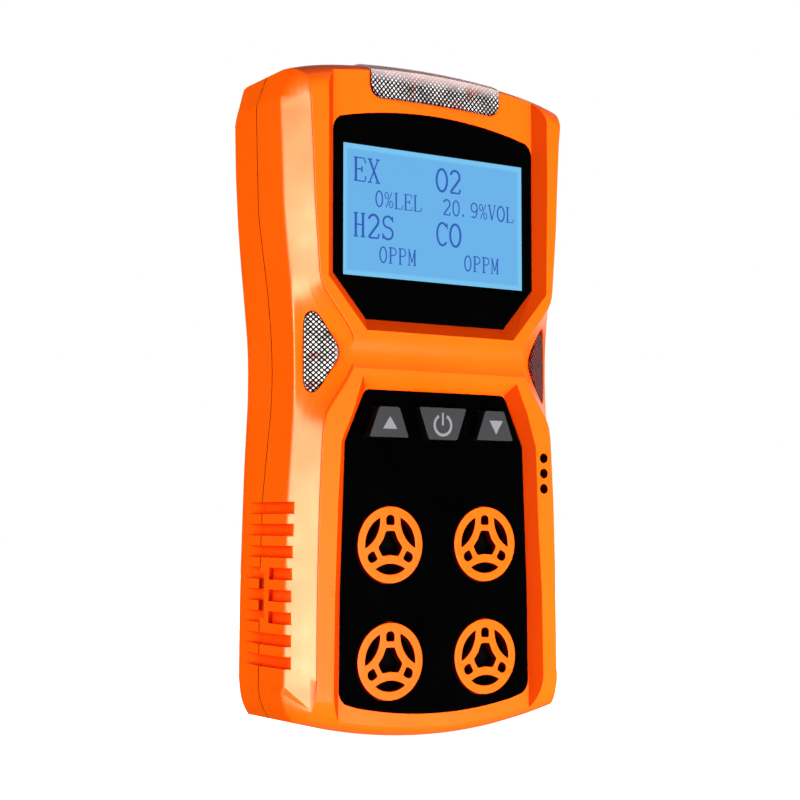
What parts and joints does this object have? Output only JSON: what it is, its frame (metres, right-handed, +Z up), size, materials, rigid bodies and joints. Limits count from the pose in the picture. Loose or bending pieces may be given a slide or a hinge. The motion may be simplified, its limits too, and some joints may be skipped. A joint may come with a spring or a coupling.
{
  "type": "portable gas detector",
  "caption": "Hand-held gas detector: two moulded shells with a display window, key panel, sensor grilles, alarm lenses, grip grooves and a spring belt clip.",
  "frame": {"origin": "level with the lowest point of the shells, under the middle of the whole width and depth, so 6.85 mm behind the parting plane of the two shells", "axes": "+X to the user's right when looking at the display, +Y from front to back, +Z up from the sole to the crown"},
  "size_m": [0.0658, 0.0452, 0.13],
  "materials": {
    "orange_shell": "satin-gloss orange moulding",
    "window_black": "gloss, black printed",
    "panel_black": "satin black",
    "key_grey": "matte dark grey",
    "alarm_lens": "clear, patterned inside",
    "display_blue": "lit blue display",
    "light_guide": "white diffuser",
    "circuit_board": "green solder mask",
    "component_black": "matte black",
    "bright_metal": "nickel plated",
    "steel": "satin stainless",
    "spring_steel": "bright drawn wire",
    "sensor_cell": "moulded light grey",
    "filter_black": "porous black membrane",
    "gasket_rubber": "matte",
    "battery_wrap": "heat-shrink sleeve",
    "foam": "open-cell foam"
  },
  "bodies": {
    "housing": {"alarm_board_left": "circuit_board", "alarm_board_right": "circuit_board", "alarm_board_top": "circuit_board", "alarm_lens_left": "alarm_lens", "alarm_lens_right": "alarm_lens", "alarm_lens_top": "alarm_lens", "battery": "battery_wrap", "battery_pad": "foam", "board_connector": "component_black", "buzzer": "component_black", "charging_port": "bright_metal", "clip_base": "steel", "clip_pin": "steel", "clip_screw_lower": "steel", "clip_screw_upper": "steel", "clip_spring": "spring_steel", "display_window": "window_black", "front_housing": "orange_shell", "gas_sensor_lower_left": "sensor_cell", "gas_sensor_lower_right": "sensor_cell", "gas_sensor_upper_left": "sensor_cell", "gas_sensor_upper_right": "sensor_cell", "housing_gasket": "gasket_rubber", "housing_screw_bottom_left": "steel", "housing_screw_bottom_right": "steel", "housing_screw_top_left": "steel", "housing_screw_top_right": "steel", "key_switch_down": "component_black", "key_switch_power": "component_black", "key_switch_up": "component_black", "keypad_panel": "panel_black", "lcd_backlight": "light_guide", "lcd_module": "display_blue", "main_board": "circuit_board", "main_board_screw_left": "steel", "main_board_screw_right": "steel", "rear_housing": "orange_shell", "sensor_board": "circuit_board", "sensor_board_screw_left": "steel", "sensor_board_screw_right": "steel", "sensor_filter_lower_left": "filter_black", "sensor_filter_lower_right": "filter_black", "sensor_filter_upper_left": "filter_black", "sensor_filter_upper_right": "filter_black", "sensor_grille_lower_left": "orange_shell", "sensor_grille_lower_right": "orange_shell", "sensor_grille_upper_left": "orange_shell", "sensor_grille_upper_right": "orange_shell", "vibration_motor": "bright_metal"},
    "key_up": {"key_up": "key_grey"},
    "key_power": {"key_power": "key_grey"},
    "key_down": {"key_down": "key_grey"},
    "belt_clip": {"belt_clip": "steel"},
    "port_cover": {"port_cover": "gasket_rubber"}
  },
  "joints": [
    {"name": "key_up_press", "type": "slide", "parent": "housing", "child": "key_up", "axis": [0, 1, 0], "range_m": [0, 0.0006], "stiffness_N_per_m": 30},
    {"name": "key_power_press", "type": "slide", "parent": "housing", "child": "key_power", "axis": [0, 1, 0], "range_m": [0, 0.0006], "stiffness_N_per_m": 30},
    {"name": "key_down_press", "type": "slide", "parent": "housing", "child": "key_down", "axis": [0, 1, 0], "range_m": [0, 0.0006], "stiffness_N_per_m": 30},
    {"name": "belt_clip_hinge", "type": "hinge", "parent": "housing", "child": "belt_clip", "pos_m": [0, 0.01315, 0.092], "axis": [1, 0, 0], "range_deg": [0, 16], "stiffness_Nm_per_rad": 0.3, "deforming": ["clip_spring"]},
    {"name": "port_cover_hinge", "type": "hinge", "parent": "housing", "child": "port_cover", "pos_m": [-0.0064, 0.00245, 0.00075], "axis": [0, 1, 0], "range_deg": [0, 100], "stiffness_Nm_per_rad": 0.0004}
  ]
}
